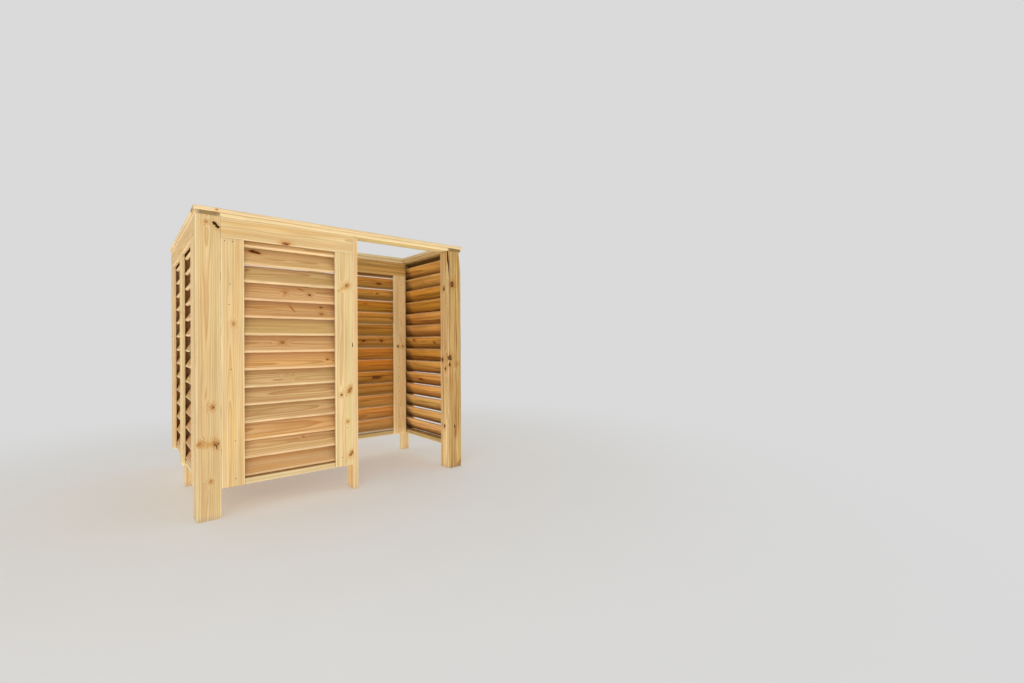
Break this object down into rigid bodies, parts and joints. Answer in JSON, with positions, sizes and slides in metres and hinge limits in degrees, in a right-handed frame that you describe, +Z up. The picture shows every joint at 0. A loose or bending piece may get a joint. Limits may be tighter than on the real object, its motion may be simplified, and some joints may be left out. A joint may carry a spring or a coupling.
{
  "type": "louvred changing stall",
  "caption": "Open-topped pine changing and shower stall: louvred walls on square posts, an open entrance at the front, and one side wall carried on as a wing.",
  "frame": {"origin": "centre of the bounding box, on the ground under the post feet", "axes": "+X along the front, from the louvred front wall towards the entrance; +Y from the front into the stall; +Z up"},
  "size_m": [2.108, 1.8538, 2.088],
  "materials": {
    "post_wood": "fresh unfinished pine, planed, with knots and drying cracks",
    "board_wood": "fresh unfinished pine, planed, with knots and eased edges",
    "slat_wood": "fresh unfinished pine decking boards with rounded edges"
  },
  "bodies": {
    "root": {"front_left_post": "post_wood", "entrance_post": "post_wood", "front_right_post": "post_wood", "back_left_post": "post_wood", "back_right_post": "post_wood", "wing_end_post": "post_wood", "front_top_rail": "board_wood", "front_bottom_rail": "board_wood", "front_left_stile": "board_wood", "front_right_stile": "board_wood", "front_slats": "slat_wood", "left_top_rail": "board_wood", "left_bottom_rail": "board_wood", "left_front_stile": "board_wood", "left_middle_stile": "board_wood", "left_slats": "slat_wood", "wing_bottom_rail": "board_wood", "wing_end_stile": "board_wood", "wing_slats": "slat_wood", "right_top_rail": "board_wood", "right_bottom_rail": "board_wood", "right_front_stile": "board_wood", "right_back_stile": "board_wood", "right_slats": "slat_wood", "back_top_rail": "board_wood", "back_bottom_rail": "board_wood", "back_left_stile": "board_wood", "back_middle_stile": "board_wood", "back_right_stile": "board_wood", "back_slats": "slat_wood", "front_plate": "board_wood", "left_plate": "board_wood", "right_plate": "board_wood", "back_plate": "board_wood", "front_cap": "board_wood", "left_cap": "board_wood", "right_cap": "board_wood", "back_cap": "board_wood"}
  },
  "joints": []
}
